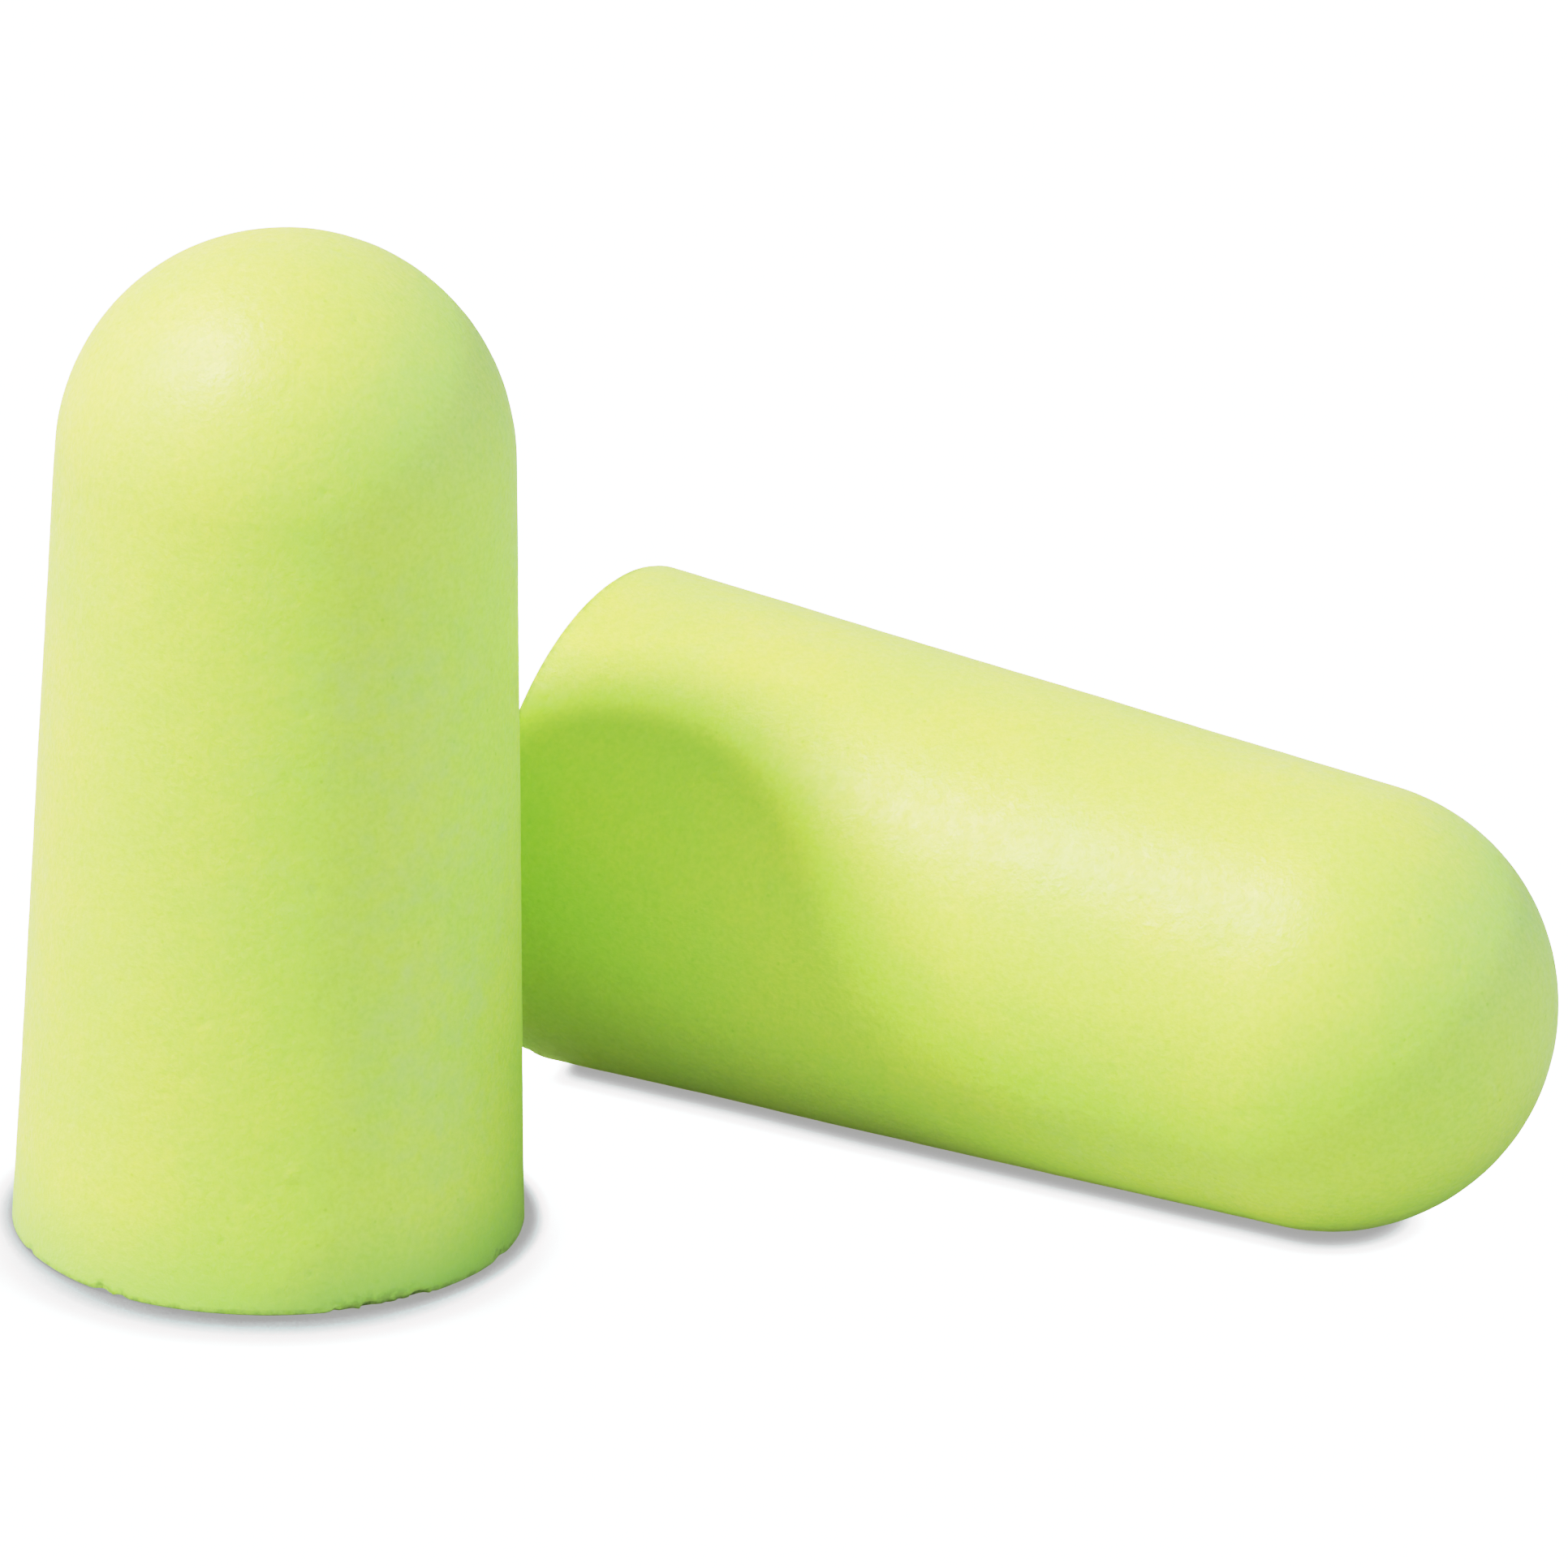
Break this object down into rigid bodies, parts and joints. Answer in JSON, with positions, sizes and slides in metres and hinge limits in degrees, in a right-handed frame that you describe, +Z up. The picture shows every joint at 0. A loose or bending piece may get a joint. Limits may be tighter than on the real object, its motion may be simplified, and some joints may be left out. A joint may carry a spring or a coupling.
{
  "type": "foam ear plugs",
  "caption": "Soft foam ear plugs with tapered round bodies, round tips and flat cut bases, standing upright and lying on the side, for shutting out noise on a journey.",
  "frame": {"origin": "centre of the standing plug's flat base, on the surface that both plugs rest on", "axes": "+Z up; +X towards the lying plug's tip end; +Y towards the side where the lying plug's base is"},
  "size_m": [0.0367, 0.0221, 0.0246],
  "materials": {
    "foam": "matte, slightly translucent, fine-celled soft foam in bright yellow-green"
  },
  "bodies": {
    "standing_plug": {"standing_plug": "foam"},
    "lying_plug": {"lying_plug": "foam"}
  },
  "joints": [
    {"name": "lift_lying_plug", "type": "slide", "parent": "standing_plug", "child": "lying_plug", "axis": [0, 0, 1], "range_m": [0, 0.04]}
  ]
}
